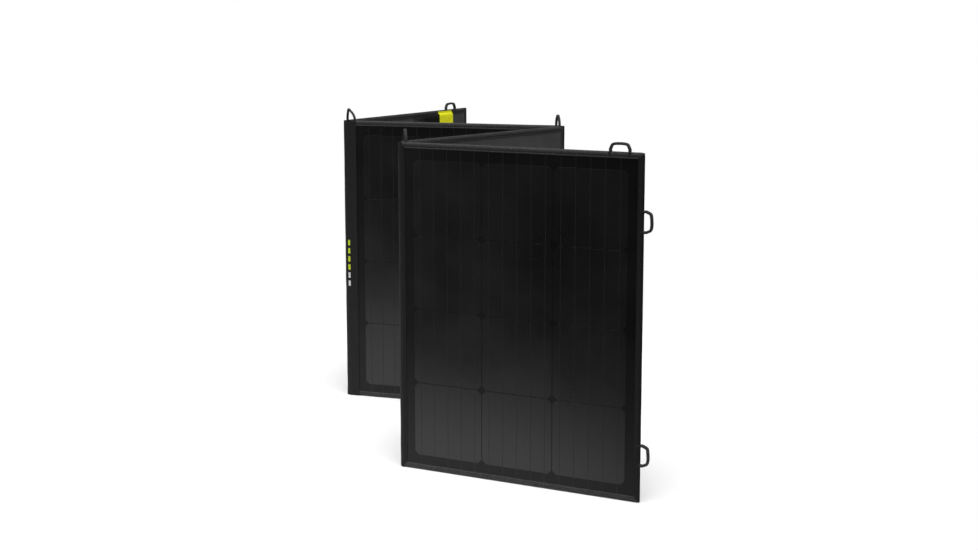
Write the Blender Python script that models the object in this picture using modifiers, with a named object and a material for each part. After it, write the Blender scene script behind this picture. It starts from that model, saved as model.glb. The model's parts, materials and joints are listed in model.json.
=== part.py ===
"""Folding solar panel kit: four fabric-edged panels joined side by side, standing half folded in a zig-zag.

Units are metres and +Z is up. The kit stands on the panels' lower edges. A panel is built in a frame of its
own: x along its width, y from its front face (the cell side) to its back, z up from its lower edge. The
origin of the whole model is the centre of its bounding box at floor level.
"""

import math

import bmesh
import bpy
from mathutils import Matrix, Vector

# Panels
PANEL_WIDTH = 0.546
PANEL_HEIGHT = 0.711
PANEL_THICKNESS = 0.007
LAYER_GAP = 0.0003  # clearance between pieces that touch
BINDING_WALL = 0.0008
BINDING_LIP = 0.013  # how far the binding reaches in over each face
BINDING_ROUND = 0.0012

# Solar cells: full 158.75 mm wafers, three across and four high
CELL = 0.15875
CELL_GAP = 0.002
CELL_CHAMFER = 0.0085
CELL_COLUMNS = 3
CELL_ROWS = 4
CELL_BLOCK_ABOVE_FLOOR = 0.0335
RIBBONS_PER_CELL = 5
RIBBON_WIDTH = 0.0015
RIBBON_TAIL = 0.024  # how far a ribbon runs on past the cells to its collector
COLLECTOR_WIDTH = 0.004

# Layers of a panel from the front: name, thickness. LAYER_GAP separates them.
LAYERS = (
    ("front_film", 0.00035),
    ("ribbons", 0.0002),
    ("cells", 0.0003),
    ("backsheet", 0.0006),
    ("stiffener", 0.00145),
    ("back_cover", 0.0004),
)

# Folds. Interior angles at rest, in degrees: 180 is flat and 0 is closed.
FOLD_A_ANGLE = 73.1  # panels 1 and 2, backs together
FOLD_C_ANGLE = 64.5  # panels 2 and 3, cells together
SPINE_FRONT_BEND = 5.0  # panel 3 to the spine, away from flat
SPINE_REAR_BEND = 101.1  # the spine to panel 4, away from flat
PANEL_2_HEADING = 227.7  # direction of panel 2's x axis, anticlockwise from +X
FOLD_SETBACK = 0.0025  # from a fold's axis to the panel edge beside it
FOLD_OFFSET = 0.0005  # from a fold's axis to the faces that close on each other
SPINE_WIDTH = 0.014  # between the spine's two fold axes
SLEEVE_RADIUS = 0.0021
SLEEVE_WALL = 0.0006
LEAD_RADIUS = 0.0011
SLEEVE_SETBACK = 0.006  # the fold sleeves stop this far from the top and bottom

# Webbing loops
STRAP_WIDTH = 0.009
STRAP_THICKNESS = 0.005
LOOP_WIDTH = 0.047
LOOP_HEIGHT = 0.0195
LOOP_SHOULDER = 0.007
TOP_LOOP_FROM_EDGE = 0.052
REAR_TOP_LOOP_FROM_EDGE = 0.079
SIDE_LOOP_HEIGHTS = (0.574, 0.099)
FOLD_LOOP_REACH = 0.017  # from the fold's axis to a foot of the loop that bridges it
SPINE_LOOP_REACH = 0.0115
FOLD_LOOP_HEIGHT = 0.028
SPINE_LOOP_HEIGHT = 0.034
FOLD_LOOP_TOP = 0.007
LOOP_TOP_SHARE = 0.66  # an edge loop's width at its top, as a share of its width at its feet
STRAP_PINCH = 0.2  # how much of the strap's thickness its inner bends are shortened by

# Cable pocket on panel 4's back, in that panel's frame
POCKET_LOW_X = 0.078
POCKET_HIGH_X = 0.2545
POCKET_TOP = PANEL_HEIGHT - 0.014
POCKET_BOTTOM = PANEL_HEIGHT - 0.204
POCKET_DEPTH = 0.0111  # where it holds the junction box
POCKET_MOUTH_DEPTH = 0.004  # where the tab holds it flat
POCKET_DEEP_TOP = POCKET_BOTTOM + 0.075
POCKET_FLAT_FROM = POCKET_BOTTOM + 0.099
POCKET_WALL = 0.001
POCKET_SLOPE_OUTER = 0.012
POCKET_SLOPE_INNER = 0.003
TAB_LOW_X = 0.0775
TAB_WIDTH = 0.066
TAB_THICKNESS = 0.0009
TAB_ROOT = PANEL_HEIGHT - 0.003
TAB_FLAT = 0.004  # how far the tab lies flat on the panel below its root
TAB_STEP = 0.006  # the height in which it then steps out over the pocket's mouth
TAB_BOTTOM = PANEL_HEIGHT - 0.095
PATCH_THICKNESS = 0.0006
PATCH_WIDTH = 0.05
PATCH_HEIGHT = 0.028
PATCH_ABOVE_TAB_END = 0.004

# Junction box inside the pocket
JUNCTION_X = 0.100
JUNCTION_Z = POCKET_BOTTOM + 0.005
JUNCTION_WIDTH = 0.070
JUNCTION_HEIGHT = 0.060
JUNCTION_DEPTH = 0.0077
JUNCTION_WALL = 0.0012
JUNCTION_LID = 0.0014
BOARD_THICKNESS = 0.0012
DIODES = 3
DIODE_SIZE = (0.010, 0.0034, 0.020)
DIODE_PITCH = 0.018
DIODE_INSET = (0.010, 0.018)  # from the board's lower left corner to the first diode
DIODE_SUNK = 0.0004
GLAND_LENGTH = 0.016
GLAND_RADIUS = 0.0036
GLAND_NECK_RADIUS = 0.0027
GLAND_MOUTH_RADIUS = 0.0024
GLAND_BORE_RADIUS = 0.0018
GLAND_FLANGE_END = 0.003
GLAND_NUT_START = 0.008
GLAND_NUT_END = 0.013

BLACK_FABRIC = (0.030, 0.031, 0.033)
CELL_BLACK = (0.012, 0.013, 0.016)
LIME = (0.72, 0.86, 0.02)

KIT = "folding_solar_panel_kit"


# ---- Scene and material helpers ----


def fresh_collection(name):
    collection = bpy.data.collections.new(name)
    bpy.context.scene.collection.children.link(collection)
    return collection


def start():
    for old in list(bpy.data.objects):
        bpy.data.objects.remove(old, do_unlink=True)
    return fresh_collection(KIT), fresh_collection("frames")


def material(name, colour, roughness, metallic=0.0):
    made = bpy.data.materials.get(name)
    if made:
        return made
    made = bpy.data.materials.new(name)
    made.use_nodes = True
    shader = made.node_tree.nodes["Principled BSDF"]
    shader.inputs["Base Color"].default_value = (*colour, 1.0)
    shader.inputs["Roughness"].default_value = roughness
    shader.inputs["Metallic"].default_value = metallic
    return made


def fabric():
    return material("black_fabric", BLACK_FABRIC, 0.85)


def plastic():
    return material("black_plastic", (0.02, 0.02, 0.022), 0.5)


def frame(name, parent, location, angle):
    """An empty that carries one rigid body: it stands on the body's fold axis."""
    empty = bpy.data.objects.new(name, None)
    frames.objects.link(empty)
    empty.parent = parent
    empty.location = location
    empty.rotation_euler = (0.0, 0.0, math.radians(angle))
    return empty


def place(name, mesh, look, parent, location=(0, 0, 0), rotation=(0, 0, 0)):
    """Put a mesh in the model as a named piece with one material."""
    piece = bpy.data.objects.new(name, mesh)
    kit.objects.link(piece)
    if not mesh.materials:
        mesh.materials.append(look)
    piece.parent = parent
    piece.location = location
    piece.rotation_euler = rotation
    return piece


# ---- Mesh helpers ----


def block(low, high):
    """A closed box between two corners."""
    low, high = Vector(low), Vector(high)
    shape = bmesh.new()
    bmesh.ops.create_cube(shape, size=1.0)
    bmesh.ops.scale(shape, vec=high - low, verts=shape.verts)
    bmesh.ops.translate(shape, vec=(low + high) / 2, verts=shape.verts)
    mesh = bpy.data.meshes.new("block")
    shape.to_mesh(mesh)
    shape.free()
    return mesh


def settled(source):
    """The mesh that an object's curve or modifiers make, with its caps welded; the object is removed."""
    bpy.context.view_layer.update()
    seen = source.evaluated_get(bpy.context.evaluated_depsgraph_get())
    mesh = bpy.data.meshes.new_from_object(seen)
    bpy.data.objects.remove(source, do_unlink=True)
    shape = bmesh.new()
    shape.from_mesh(mesh)
    bmesh.ops.remove_doubles(shape, verts=shape.verts, dist=1e-6)
    bmesh.ops.recalc_face_normals(shape, faces=shape.faces)
    shape.to_mesh(mesh)
    shape.free()
    return mesh


def plate(loops, depth):
    """A flat plate from closed loops of (x, z) points, with holes, centred on y = 0."""
    outline = bpy.data.curves.new("outline", "CURVE")
    outline.dimensions = "2D"
    outline.fill_mode = "BOTH"
    outline.extrude = depth / 2
    for loop in loops:
        spline = outline.splines.new("POLY")
        spline.points.add(len(loop) - 1)
        for point, (x, z) in zip(spline.points, loop):
            point.co = (x, z, 0, 1)
        spline.use_cyclic_u = True
    holder = bpy.data.objects.new("outline", outline)
    frames.objects.link(holder)
    mesh = settled(holder)
    mesh.transform(Matrix.Rotation(math.pi / 2, 4, "X"))
    return mesh


def carve(mesh, cutters, operation="DIFFERENCE", bevel=0.0):
    """Round a mesh's edges, then cut it with, or join it to, each of the other meshes."""
    base = bpy.data.objects.new("base", mesh)
    frames.objects.link(base)
    if bevel:
        edges = base.modifiers.new("round", "BEVEL")
        edges.width = bevel
        edges.segments = 2
    helpers = []
    for cutter_mesh in cutters:
        cutter = bpy.data.objects.new("cutter", cutter_mesh)
        frames.objects.link(cutter)
        cutter.hide_render = True
        cutter.display_type = "WIRE"
        boolean = base.modifiers.new("cut", "BOOLEAN")
        boolean.operation = operation
        boolean.object = cutter
        helpers.append(cutter)
    result = settled(base)
    for cutter in helpers:
        bpy.data.objects.remove(cutter, do_unlink=True)
    return result


def ring(radius, sides=16):
    """Points of a circle, as a closed loop."""
    turns = (2 * math.pi * step / sides for step in range(sides))
    return [(radius * math.cos(turn), radius * math.sin(turn)) for turn in turns]


def rectangle(low_x, low_z, high_x, high_z):
    return [(low_x, low_z), (high_x, low_z), (high_x, high_z), (low_x, high_z)]


def tube(outer, inner, length):
    """An upright tube, open at both ends, from z = 0, between two outlines in plan."""
    mesh = plate([outer, inner] if inner else [outer], length)
    mesh.transform(Matrix.Translation((0, 0, length / 2)) @ Matrix.Rotation(-math.pi / 2, 4, "X"))
    return mesh


# ---- Panel pieces, in the panel's own frame ----


def layer_depths():
    """Front and back y of each layer, by name."""
    depths = {}
    front = BINDING_WALL + LAYER_GAP
    for name, thickness in LAYERS:
        depths[name] = (front, front + thickness)
        front += thickness + LAYER_GAP
    return depths


def sheet(name):
    """A full-size layer, held all round in the binding's channel."""
    front, back = layer_depths()[name]
    inset = BINDING_WALL + LAYER_GAP
    return block((inset, front, inset), (PANEL_WIDTH - inset, back, PANEL_HEIGHT - inset))


def binding():
    """The edge binding: a U-shaped tape wrapped round all four edges."""
    size = Vector((PANEL_WIDTH, PANEL_THICKNESS, PANEL_HEIGHT))
    wall = Vector((BINDING_WALL,) * 3)
    lip = Vector((BINDING_LIP, -PANEL_THICKNESS, BINDING_LIP))
    channel = block(wall, size - wall)
    window = block(lip, size - lip)
    return carve(block((0, 0, 0), size), [channel, window], bevel=BINDING_ROUND)


def block_origin():
    """Lower left corner of the block of cells."""
    width = CELL_COLUMNS * (CELL + CELL_GAP) - CELL_GAP
    return (PANEL_WIDTH - width) / 2, CELL_BLOCK_ABOVE_FLOOR


def cell_side(count):
    """Points along one side of the block of cells: (distance along, depth inwards), notched between cells."""
    pitch = CELL + CELL_GAP
    points = [(CELL_CHAMFER, 0)]
    for cell in range(1, count):
        end = cell * pitch - CELL_GAP
        start = cell * pitch
        points += [(end - CELL_CHAMFER, 0), (end, CELL_CHAMFER)]
        points += [(start, CELL_CHAMFER), (start + CELL_CHAMFER, 0)]
    return points + [(count * pitch - CELL_GAP - CELL_CHAMFER, 0)]


def cells():
    """Twelve pseudo-square cells, joined where their edges face, with a diamond at each crossing."""
    pitch = CELL + CELL_GAP
    width = CELL_COLUMNS * pitch - CELL_GAP
    height = CELL_ROWS * pitch - CELL_GAP
    across, up = cell_side(CELL_COLUMNS), cell_side(CELL_ROWS)
    rim = list(across)
    rim += [(width - depth, along) for along, depth in up]
    rim += [(width - along, height - depth) for along, depth in across]
    rim += [(depth, height - along) for along, depth in up]
    near, far = CELL_GAP / 2, CELL_GAP / 2 + CELL_CHAMFER
    quarter = [(far, near), (near, far)]
    half = quarter + [(-z, x) for x, z in quarter]
    diamond = half + [(-x, -z) for x, z in half]
    loops = [rim]
    for column in range(1, CELL_COLUMNS):
        for row in range(1, CELL_ROWS):
            middle = Vector((column * pitch - near, row * pitch - near))
            loops.append([(middle.x + x, middle.y + z) for x, z in diamond])
    front, back = layer_depths()["cells"]
    mesh = plate(loops, back - front)
    left, low = block_origin()
    mesh.transform(Matrix.Translation((left, (front + back) / 2, low)))
    return mesh


def ribbons():
    """The contact ribbons: five run up each column, and collectors join the columns in series."""
    pitch = CELL + CELL_GAP
    left, low = block_origin()
    first = CELL / RIBBONS_PER_CELL / 2 - RIBBON_WIDTH / 2
    columns = [(left + c * pitch + first, left + c * pitch + CELL - first) for c in range(CELL_COLUMNS)]
    bottom = low - RIBBON_TAIL
    top = low + CELL_ROWS * pitch - CELL_GAP + RIBBON_TAIL
    inner_bottom, inner_top = bottom + COLLECTOR_WIDTH, top - COLLECTOR_WIDTH
    (left_1, right_1), (left_2, right_2), (left_3, right_3) = columns
    rim = [(left_1, bottom), (right_1, bottom), (right_1, inner_top), (left_2, inner_top), (left_2, bottom)]
    rim += [(right_3, bottom), (right_3, top), (left_3, top), (left_3, inner_bottom), (right_2, inner_bottom)]
    rim += [(right_2, top), (left_1, top)]
    loops = [rim]
    step = CELL / RIBBONS_PER_CELL
    for start, _ in columns:
        for gap in range(RIBBONS_PER_CELL - 1):
            hole = start + gap * step + RIBBON_WIDTH
            loops.append(rectangle(hole, inner_bottom, hole + step - RIBBON_WIDTH, inner_top))
    front, back = layer_depths()["ribbons"]
    mesh = plate(loops, back - front)
    mesh.transform(Matrix.Translation((0, (front + back) / 2, 0)))
    return mesh


def panel_looks():
    return {
        "front_film": material("front_film", (0.02, 0.021, 0.024), 0.45),
        "ribbons": material("tinned_ribbon", (0.25, 0.25, 0.26), 0.4, 0.8),
        "cells": material("solar_cell", CELL_BLACK, 0.35),
        "backsheet": material("backsheet", (0.015, 0.015, 0.016), 0.6),
        "stiffener": material("stiffener", (0.05, 0.05, 0.05), 0.7),
        "back_cover": fabric(),
        "binding": fabric(),
    }


def add_panel(number, parent, corner, meshes):
    """All the layers of one panel, with its lower front left corner at a place in its body's frame."""
    looks = panel_looks()
    for layer, mesh in meshes.items():
        place(f"panel_{number}_{layer}", mesh, looks[layer], parent, corner)


# ---- Folds ----


def add_fold(name, parent, location):
    """The fabric sleeve round a fold's axis, with the jumper lead that runs inside it."""
    length = PANEL_HEIGHT - 2 * SLEEVE_SETBACK
    foot = Vector(location) + Vector((0, 0, SLEEVE_SETBACK))
    sleeve = tube(ring(SLEEVE_RADIUS), ring(SLEEVE_RADIUS - SLEEVE_WALL), length)
    lead = tube(ring(LEAD_RADIUS, 12), None, length)
    place(f"{name}_sleeve", sleeve, fabric(), parent, foot)
    place(f"{name}_lead", lead, material("lead_jacket", (0.01, 0.01, 0.01), 0.5), parent, foot)


def add_spine(parent):
    """The strip between panels 3 and 4: a fabric cover round a stiff batten, open at its ends."""
    low, high = -SPINE_WIDTH + FOLD_SETBACK, -FOLD_SETBACK
    front, back = -(PANEL_THICKNESS + FOLD_OFFSET), -FOLD_OFFSET
    wall, gap = BINDING_WALL, BINDING_WALL + LAYER_GAP
    outer = rectangle(low, front, high, back)
    inner = rectangle(low + wall, front + wall, high - wall, back - wall)
    place("spine_cover", tube(outer, inner, PANEL_HEIGHT), fabric(), parent)
    end = 2 * BINDING_WALL
    batten = block((low + gap, front + gap, end), (high - gap, back - gap, PANEL_HEIGHT - end))
    place("spine_batten", batten, material("batten", (0.06, 0.06, 0.06), 0.6), parent)


# ---- Webbing loops ----


def towards(degrees):
    """The level unit vector this many degrees anticlockwise from +X."""
    turn = math.radians(degrees)
    return Vector((math.cos(turn), math.sin(turn), 0))


def loop_mesh(width, height, top, shoulder):
    """An arch of webbing in the x-z plane, its two feet on z = 0 and its strap's width along y."""
    half, half_top = width / 2, top / 2
    thick = STRAP_THICKNESS
    pinch = STRAP_PINCH * thick
    inner_shoulder = shoulder - pinch
    inner_top = max(half_top - thick / 2, pinch)
    right = [(half, 0), (half, shoulder), (half_top, height)]
    inside = [(half - thick, 0), (half - thick, inner_shoulder), (inner_top, height - thick)]
    outer = right + [(-x, z) for x, z in reversed(right)]
    inner = [(-x, z) for x, z in inside] + list(reversed(inside))
    return plate([outer + inner], STRAP_WIDTH)


def add_edge_loops(number, parent, corner, top_x, edge_x, side):
    """One loop on a panel's top edge and two on its free side edge; side is +1 or -1 along x."""
    arch = loop_mesh(LOOP_WIDTH, LOOP_HEIGHT, LOOP_WIDTH * LOOP_TOP_SHARE, LOOP_SHOULDER)
    middle = PANEL_THICKNESS / 2
    corner = Vector(corner)
    top = corner + Vector((top_x, middle, PANEL_HEIGHT + LAYER_GAP))
    place(f"panel_{number}_top_loop", arch, fabric(), parent, top)
    for word, height in zip(("upper", "lower"), SIDE_LOOP_HEIGHTS):
        spot = corner + Vector((edge_x + side * LAYER_GAP, middle, height))
        name = f"panel_{number}_{word}_side_loop"
        place(name, arch, fabric(), parent, spot, (0, side * math.pi / 2, 0))


def add_bridging_loop(name, parent, foot_1, foot_2, height):
    """A loop pinched up over a fold, with a foot on each side of it."""
    across = foot_2 - foot_1
    arch = loop_mesh(across.length + STRAP_THICKNESS, height, FOLD_LOOP_TOP, LOOP_SHOULDER)
    spot = (foot_1 + foot_2) / 2 + Vector((0, 0, PANEL_HEIGHT + LAYER_GAP))
    place(name, arch, fabric(), parent, spot, (0, 0, math.atan2(across.y, across.x)))


def add_fold_loops(panel_2, axis_c, spine):
    """The loops over folds A and C, on panel 2's frame, and over the spine, on the spine's."""
    reach = FOLD_LOOP_REACH
    foot_1, foot_2 = reach * towards(180 - FOLD_A_ANGLE), reach * towards(180)
    add_bridging_loop("fold_a_loop", panel_2, foot_1, foot_2, FOLD_LOOP_HEIGHT)
    foot_1, foot_2 = axis_c + reach * towards(0), axis_c + reach * towards(-FOLD_C_ANGLE)
    add_bridging_loop("fold_c_loop", panel_2, foot_1, foot_2, FOLD_LOOP_HEIGHT)
    foot_1 = SPINE_LOOP_REACH * towards(SPINE_FRONT_BEND)
    foot_2 = Vector((-SPINE_WIDTH, 0, 0)) + SPINE_LOOP_REACH * towards(180 - SPINE_REAR_BEND)
    add_bridging_loop("fold_d_loop", spine, foot_1, foot_2, SPINE_LOOP_HEIGHT)


# ---- Cable pocket, closure tab and junction box, in panel 4's frame ----


def pocket():
    """A pouch sewn to the back: deep over the junction box, flat at its open mouth, with sloping sides."""
    cover = layer_depths()["back_cover"][1] + LAYER_GAP
    levels = [(POCKET_BOTTOM, POCKET_DEPTH), (POCKET_DEEP_TOP, POCKET_DEPTH)]
    levels += [(POCKET_FLAT_FROM, POCKET_MOUTH_DEPTH), (POCKET_TOP, POCKET_MOUTH_DEPTH)]
    shape = bmesh.new()
    rows = []
    for height, depth in levels:
        outer = cover + depth
        section = [(POCKET_LOW_X, cover), (POCKET_LOW_X + POCKET_SLOPE_INNER, outer)]
        section += [(POCKET_HIGH_X - POCKET_SLOPE_OUTER, outer), (POCKET_HIGH_X, cover)]
        rows.append([shape.verts.new((x, y, height)) for x, y in section])
    shape.faces.new(rows[0])
    for lower, upper in zip(rows, rows[1:]):
        for corner in range(3):
            shape.faces.new((lower[corner + 1], lower[corner], upper[corner], upper[corner + 1]))
    mesh = bpy.data.meshes.new("pocket")
    shape.to_mesh(mesh)
    shape.free()
    holder = bpy.data.objects.new("pocket", mesh)
    frames.objects.link(holder)
    thick = holder.modifiers.new("wall", "SOLIDIFY")
    thick.thickness = POCKET_WALL
    thick.offset = -1.0
    thick.use_even_offset = True
    wall = settled(holder)
    for point in wall.vertices:
        point.co.y = max(point.co.y, cover)  # the sewn edge lies flat on the cover
    return wall


def patch(centre_z, front):
    """A square of hook or loop tape, centred under the closure tab."""
    centre_x = TAB_LOW_X + TAB_WIDTH / 2
    low = (centre_x - PATCH_WIDTH / 2, front, centre_z - PATCH_HEIGHT / 2)
    high = (centre_x + PATCH_WIDTH / 2, front + PATCH_THICKNESS, centre_z + PATCH_HEIGHT / 2)
    return block(low, high)


def closure_tab(root_y, face_y):
    """The tab that holds the pocket shut: sewn at its root, out over the mouth and down the pocket's face."""
    bend = TAB_ROOT - TAB_FLAT
    path = [(root_y, TAB_ROOT), (root_y, bend), (face_y, bend - TAB_STEP), (face_y, TAB_BOTTOM)]
    shape = bmesh.new()
    rows = [[shape.verts.new((x, y, z)) for x in (0, TAB_WIDTH)] for y, z in path]
    for upper, lower in zip(rows, rows[1:]):
        shape.faces.new((upper[0], upper[1], lower[1], lower[0]))
    bmesh.ops.translate(shape, vec=(TAB_LOW_X, 0, 0), verts=shape.verts)
    mesh = bpy.data.meshes.new("tab")
    shape.to_mesh(mesh)
    shape.free()
    holder = bpy.data.objects.new("tab", mesh)
    frames.objects.link(holder)
    thick = holder.modifiers.new("cloth", "SOLIDIFY")
    thick.thickness = TAB_THICKNESS
    thick.offset = 0.0
    thick.use_even_offset = True
    return settled(holder)


def junction_tray(back):
    """The junction box's base: a tray that opens away from the panel."""
    low = Vector((JUNCTION_X, back, JUNCTION_Z))
    high = low + Vector((JUNCTION_WIDTH, JUNCTION_DEPTH, JUNCTION_HEIGHT))
    wall = Vector((JUNCTION_WALL,) * 3)
    hollow = block(low + wall, high + Vector((-JUNCTION_WALL, JUNCTION_WALL, -JUNCTION_WALL)))
    return carve(block(low, high), [hollow])


def diode_board(back):
    """The bypass board: a small circuit board with three diodes standing on it."""
    inset = JUNCTION_WALL + LAYER_GAP
    low = Vector((JUNCTION_X + inset, back + inset, JUNCTION_Z + inset))
    high = low + Vector((JUNCTION_WIDTH - 2 * inset, BOARD_THICKNESS, JUNCTION_HEIGHT - 2 * inset))
    across, up = DIODE_INSET
    diodes = []
    for number in range(DIODES):
        foot = Vector((low.x + across + number * DIODE_PITCH, high.y - DIODE_SUNK, low.z + up))
        diodes.append(block(foot, foot + Vector(DIODE_SIZE)))
    return carve(block(low, high), diodes, "UNION")


def gland():
    """The lead's gland, turned about +X: a flange, a body and a nut, with the hole for the lead."""
    profile = [(0, GLAND_RADIUS), (GLAND_FLANGE_END, GLAND_RADIUS)]
    profile += [(GLAND_FLANGE_END, GLAND_NECK_RADIUS), (GLAND_NUT_START, GLAND_NECK_RADIUS)]
    profile += [(GLAND_NUT_START, GLAND_RADIUS), (GLAND_NUT_END, GLAND_RADIUS)]
    profile += [(GLAND_LENGTH, GLAND_MOUTH_RADIUS)]
    profile += [(GLAND_LENGTH, GLAND_BORE_RADIUS), (0, GLAND_BORE_RADIUS)]
    shape = bmesh.new()
    corners = [shape.verts.new((x, 0, radius)) for x, radius in profile]
    for first, second in zip(corners, corners[1:] + corners[:1]):
        shape.edges.new((first, second))
    mesh = bpy.data.meshes.new("gland")
    shape.to_mesh(mesh)
    shape.free()
    holder = bpy.data.objects.new("gland", mesh)
    frames.objects.link(holder)
    turn = holder.modifiers.new("turn", "SCREW")
    turn.axis = "X"
    turn.steps = 20
    turn.render_steps = 20
    turn.use_merge_vertices = True
    turn.merge_threshold = 0.00001
    return settled(holder)


def add_pocket(parent, corner):
    """The cable pocket with everything in it; it returns where the flat of its outer face lies."""
    corner = Vector(corner)
    cover = layer_depths()["back_cover"][1] + LAYER_GAP
    face = cover + POCKET_MOUTH_DEPTH
    place("pocket", pocket(), fabric(), parent, corner)
    centre_z = TAB_BOTTOM + PATCH_HEIGHT / 2 + PATCH_ABOVE_TAB_END
    velour = material("loop_tape", (0.02, 0.02, 0.02), 0.95)
    place("pocket_loop_patch", patch(centre_z, face + LAYER_GAP), velour, parent, corner)
    back = cover + LAYER_GAP
    place("junction_box_base", junction_tray(back), plastic(), parent, corner)
    board = material("circuit_board", (0.02, 0.10, 0.05), 0.5)
    place("bypass_diode_board", diode_board(back), board, parent, corner)
    lid_front = back + JUNCTION_DEPTH + LAYER_GAP
    lid_low = (JUNCTION_X, lid_front, JUNCTION_Z)
    lid_high = (JUNCTION_X + JUNCTION_WIDTH, lid_front + JUNCTION_LID, JUNCTION_Z + JUNCTION_HEIGHT)
    place("junction_box_lid", block(lid_low, lid_high), plastic(), parent, corner)
    gland_x = JUNCTION_X + JUNCTION_WIDTH + LAYER_GAP
    spot = corner + Vector((gland_x, back + JUNCTION_DEPTH / 2, JUNCTION_Z + JUNCTION_HEIGHT / 2))
    place("cable_gland", gland(), plastic(), parent, spot)
    return face, centre_z


def add_closure_tab(parent, corner, face, centre_z):
    """The moving tab and its hook patch, on a frame whose origin is on the line where the tab is sewn."""
    root_y = PANEL_THICKNESS + LAYER_GAP + TAB_THICKNESS / 2
    hook_front = face + 2 * LAYER_GAP + PATCH_THICKNESS
    face_y = hook_front + PATCH_THICKNESS + LAYER_GAP + TAB_THICKNESS / 2
    root = Vector((TAB_LOW_X + TAB_WIDTH / 2, root_y, TAB_ROOT))
    tab_frame = frame("closure_tab_frame", parent, Vector(corner) + root, 0)
    lime = material("lime_webbing", LIME, 0.8)
    place("closure_tab", closure_tab(root_y, face_y), lime, tab_frame, -root)
    hook = material("hook_tape", (0.015, 0.015, 0.015), 0.9)
    place("tab_hook_patch", patch(centre_z, hook_front), hook, tab_frame, -root)


# ---- The whole kit ----


def centre_on_floor(root):
    """Move the kit so that its bounding box is centred over the origin, with its lowest point at z = 0."""
    bpy.context.view_layer.update()
    spots = [piece.matrix_world @ point.co for piece in kit.objects for point in piece.data.vertices]
    low = [min(spot[axis] for spot in spots) for axis in range(3)]
    high = [max(spot[axis] for spot in spots) for axis in range(3)]
    root.location.x -= (low[0] + high[0]) / 2
    root.location.y -= (low[1] + high[1]) / 2
    root.location.z -= low[2]


def build():
    """Panel 2 carries the others: panel 1 at fold A, and panel 3, the spine and panel 4 from fold C."""
    meshes = {name: sheet(name) for name in ("front_film", "backsheet", "stiffener", "back_cover")}
    meshes["cells"] = cells()
    meshes["ribbons"] = ribbons()
    meshes["binding"] = binding()
    edge = PANEL_WIDTH + FOLD_SETBACK
    behind = PANEL_THICKNESS + FOLD_OFFSET
    before_back_fold = (-edge, -behind, 0)  # a panel whose far edge is at a backs-together fold
    after_back_fold = (FOLD_SETBACK, -behind, 0)
    before_front_fold = (-edge, FOLD_OFFSET, 0)

    panel_2 = frame("panel_2_frame", None, (0, 0, 0), PANEL_2_HEADING)
    panel_1 = frame("panel_1_frame", panel_2, (0, 0, 0), 180 - FOLD_A_ANGLE)
    axis_c = Vector(before_back_fold) + Vector((-FOLD_SETBACK, -FOLD_OFFSET, 0))
    panel_3 = frame("panel_3_frame", panel_2, axis_c, 180 - FOLD_C_ANGLE)
    axis_d = Vector(before_front_fold) + Vector((-FOLD_SETBACK, behind, 0))
    spine = frame("spine_frame", panel_3, axis_d, -SPINE_FRONT_BEND)
    panel_4 = frame("panel_4_frame", spine, (-SPINE_WIDTH, 0, 0), -SPINE_REAR_BEND)

    add_panel(1, panel_1, after_back_fold, meshes)
    add_panel(2, panel_2, before_back_fold, meshes)
    add_panel(3, panel_3, before_front_fold, meshes)
    add_panel(4, panel_4, before_back_fold, meshes)

    add_fold("fold_a", panel_2, (0, 0, 0))
    add_fold("fold_c", panel_2, axis_c)
    add_fold("spine_front", spine, (0, 0, 0))
    add_fold("spine_rear", spine, (-SPINE_WIDTH, 0, 0))
    add_spine(spine)

    top_x = PANEL_WIDTH - TOP_LOOP_FROM_EDGE
    add_edge_loops(1, panel_1, after_back_fold, top_x, PANEL_WIDTH, 1)
    add_edge_loops(4, panel_4, before_back_fold, REAR_TOP_LOOP_FROM_EDGE, 0, -1)
    add_fold_loops(panel_2, axis_c, spine)

    face, centre_z = add_pocket(panel_4, before_back_fold)
    add_closure_tab(panel_4, before_back_fold, face, centre_z)
    centre_on_floor(panel_2)


kit, frames = start()
build()
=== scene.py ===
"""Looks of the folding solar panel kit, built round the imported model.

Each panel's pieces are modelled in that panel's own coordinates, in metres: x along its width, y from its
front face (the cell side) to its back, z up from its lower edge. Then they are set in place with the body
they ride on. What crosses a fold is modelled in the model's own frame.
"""

import json
import math
from collections import Counter

import bmesh
import bpy
from mathutils import Matrix, Vector, noise


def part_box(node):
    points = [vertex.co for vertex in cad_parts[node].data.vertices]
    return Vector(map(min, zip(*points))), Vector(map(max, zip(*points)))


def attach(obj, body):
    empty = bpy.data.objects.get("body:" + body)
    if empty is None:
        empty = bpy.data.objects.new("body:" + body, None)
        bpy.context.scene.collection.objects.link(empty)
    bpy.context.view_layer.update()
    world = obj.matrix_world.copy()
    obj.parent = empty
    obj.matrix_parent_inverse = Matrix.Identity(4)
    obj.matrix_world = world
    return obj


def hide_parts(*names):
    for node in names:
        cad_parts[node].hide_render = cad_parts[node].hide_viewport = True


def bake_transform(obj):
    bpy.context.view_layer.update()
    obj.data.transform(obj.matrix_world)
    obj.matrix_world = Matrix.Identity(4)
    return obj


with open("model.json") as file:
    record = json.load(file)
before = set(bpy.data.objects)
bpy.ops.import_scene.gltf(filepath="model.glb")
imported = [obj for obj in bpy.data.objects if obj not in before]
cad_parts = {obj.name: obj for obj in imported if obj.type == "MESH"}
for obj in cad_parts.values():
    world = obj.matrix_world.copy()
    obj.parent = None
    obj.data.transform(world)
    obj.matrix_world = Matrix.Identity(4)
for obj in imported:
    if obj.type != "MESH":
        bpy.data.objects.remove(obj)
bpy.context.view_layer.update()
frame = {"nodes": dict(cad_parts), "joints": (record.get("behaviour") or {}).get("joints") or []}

# The panel, as the frame has it
WIDTH = 0.546
HEIGHT = 0.711
THICK = 0.007
SETBACK = 0.0025  # from a fold's axis to the panel edge beside it
OFFSET = 0.0005  # from a fold's axis to the faces that close on each other
SPINE = 0.014  # between the spine's two fold axes
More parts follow.
